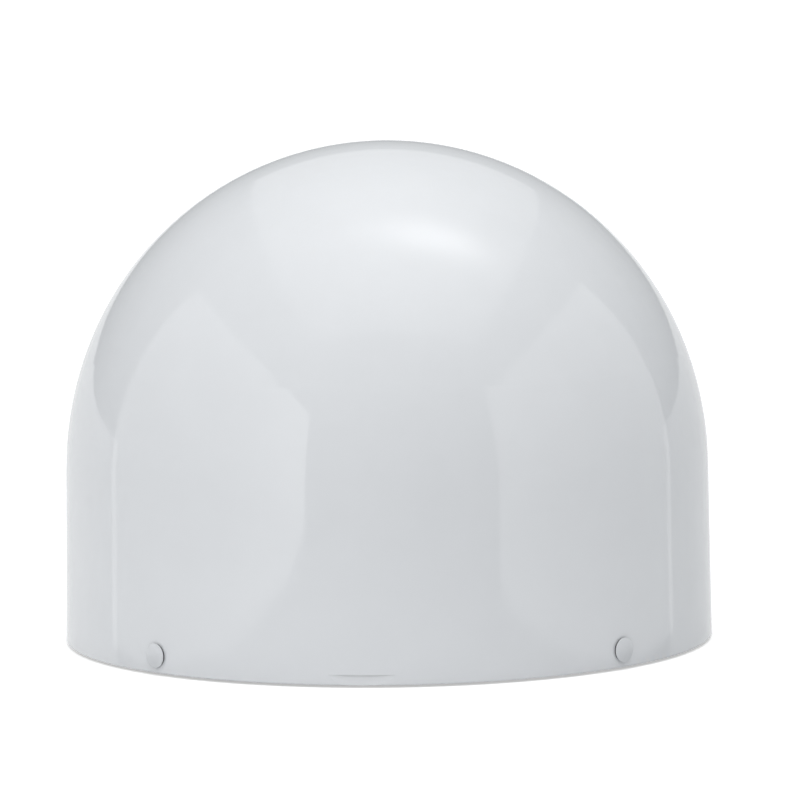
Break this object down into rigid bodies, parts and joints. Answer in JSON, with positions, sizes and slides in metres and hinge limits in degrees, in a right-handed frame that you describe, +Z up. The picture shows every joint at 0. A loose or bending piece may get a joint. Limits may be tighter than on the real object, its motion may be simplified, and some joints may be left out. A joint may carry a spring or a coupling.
{
  "type": "radar dome antenna",
  "caption": "Domed gloss white marine radome on a short straight skirt, over a motor-driven tracking dish on a round deck base.",
  "frame": {"origin": "on the deck plane, under the middle of the round base", "axes": "+Z up along the cover's axis, -Y towards the front of the cover, where its lifting scoop is, +X to the right as seen from the front"},
  "size_m": [0.5, 0.5, 0.3859],
  "materials": {
    "cover_plastic": "gloss white gel coat",
    "base_plastic": "fine moulded texture",
    "white_plastic": "moulded",
    "black_plastic": "moulded, fine grain",
    "rubber": "dull",
    "lead_jacket": "extruded",
    "stainless": "bright",
    "machined_steel": "machined, lightly oiled",
    "bearing_steel": "ground",
    "cast_alloy": "cast and machined",
    "anodised_alloy": "clear anodised sheet",
    "die_cast": "grey powder coat",
    "horn_alloy": "chromated",
    "motor_paint": "black lacquer",
    "reflector_paint": "matt white powder coat",
    "board_green": "lacquered laminate",
    "nickel_brass": "nickel plated",
    "brass": "machined"
  },
  "bodies": {
    "base": {"base_pan": "base_plastic", "mounting_pads": "rubber", "cover_seal": "rubber", "breather_plugs": "black_plastic", "connector_housing": "black_plastic", "coax_jacks": "nickel_brass", "power_socket": "black_plastic", "base_leads": "lead_jacket", "lead_clips": "white_plastic", "base_screws": "stainless", "azimuth_post": "cast_alloy", "azimuth_ring_gear": "machined_steel", "azimuth_bearing_inner_races": "bearing_steel", "azimuth_bearing_balls": "bearing_steel", "bearing_lock_nut": "machined_steel", "slip_ring_stator": "black_plastic"},
    "radome": {"radome": "cover_plastic", "cover_screws": "stainless", "cover_cup_washers": "rubber", "cover_screw_caps": "cover_plastic", "cover_clip_nuts": "stainless"},
    "turntable": {"turntable": "cast_alloy", "azimuth_bearing_outer_races": "bearing_steel", "slip_ring_rotor": "black_plastic", "slip_ring_arm": "anodised_alloy", "left_upright": "anodised_alloy", "right_upright": "anodised_alloy", "elevation_bearings": "bearing_steel", "elevation_bearing_caps": "black_plastic", "azimuth_motor": "motor_paint", "elevation_motor": "motor_paint", "motor_screws": "stainless", "control_box": "die_cast", "control_box_lid": "die_cast", "turntable_screws": "stainless", "control_board": "board_green", "control_box_glands": "black_plastic", "turntable_leads": "lead_jacket"},
    "azimuth_pinion": {"azimuth_pinion": "brass"},
    "elevation_pinion": {"elevation_pinion": "brass"},
    "dish": {"reflector": "reflector_paint", "reflector_hub": "cast_alloy", "dish_screws": "stainless", "dish_ears": "anodised_alloy", "elevation_axles": "machined_steel", "axle_circlips": "machined_steel", "balance_weights": "machined_steel", "elevation_sector": "machined_steel", "feed_bush": "white_plastic", "subreflector": "reflector_paint", "subreflector_struts": "white_plastic", "skew_motor": "motor_paint", "tilt_sensor": "black_plastic", "sensor_lead": "lead_jacket"},
    "receiver": {"feed_horn": "horn_alloy", "horn_window": "white_plastic", "skew_gear": "white_plastic", "receiver": "die_cast", "receiver_jacks": "nickel_brass"},
    "skew_pinion": {"skew_pinion": "brass"}
  },
  "joints": [
    {"name": "cover_lift", "type": "slide", "parent": "base", "child": "radome", "axis": [0, 0, 1], "range_m": [0, 0.4]},
    {"name": "azimuth", "type": "hinge", "parent": "base", "child": "turntable", "pos_m": [0, 0, 0.048], "axis": [0, 0, 1], "continuous": true},
    {"name": "azimuth_drive", "type": "hinge", "parent": "turntable", "child": "azimuth_pinion", "pos_m": [0, 0.072, 0.02], "axis": [0, 0, 1], "continuous": true},
    {"name": "elevation", "type": "hinge", "parent": "turntable", "child": "dish", "pos_m": [0, 0, 0.18], "axis": [-1, 0, 0], "range_deg": [-25, 45]},
    {"name": "elevation_drive", "type": "hinge", "parent": "turntable", "child": "elevation_pinion", "pos_m": [-0.053, 0, 0.12], "axis": [-1, 0, 0], "range_deg": [-190, 110]},
    {"name": "skew", "type": "hinge", "parent": "dish", "child": "receiver", "pos_m": [0, 0, 0.18], "axis": [0, -0.8192, 0.5736], "range_deg": [-80, 80]},
    {"name": "skew_drive", "type": "hinge", "parent": "dish", "child": "skew_pinion", "pos_m": [0, 0.02008, 0.20867], "axis": [0, -0.8192, 0.5736], "range_deg": [-275, 275]}
  ],
  "couplings": [
    {"joint": "azimuth_drive", "follows": "azimuth", "ratio": 5},
    {"joint": "elevation_drive", "follows": "elevation", "ratio": -4},
    {"joint": "skew_drive", "follows": "skew", "ratio": -3.375}
  ]
}
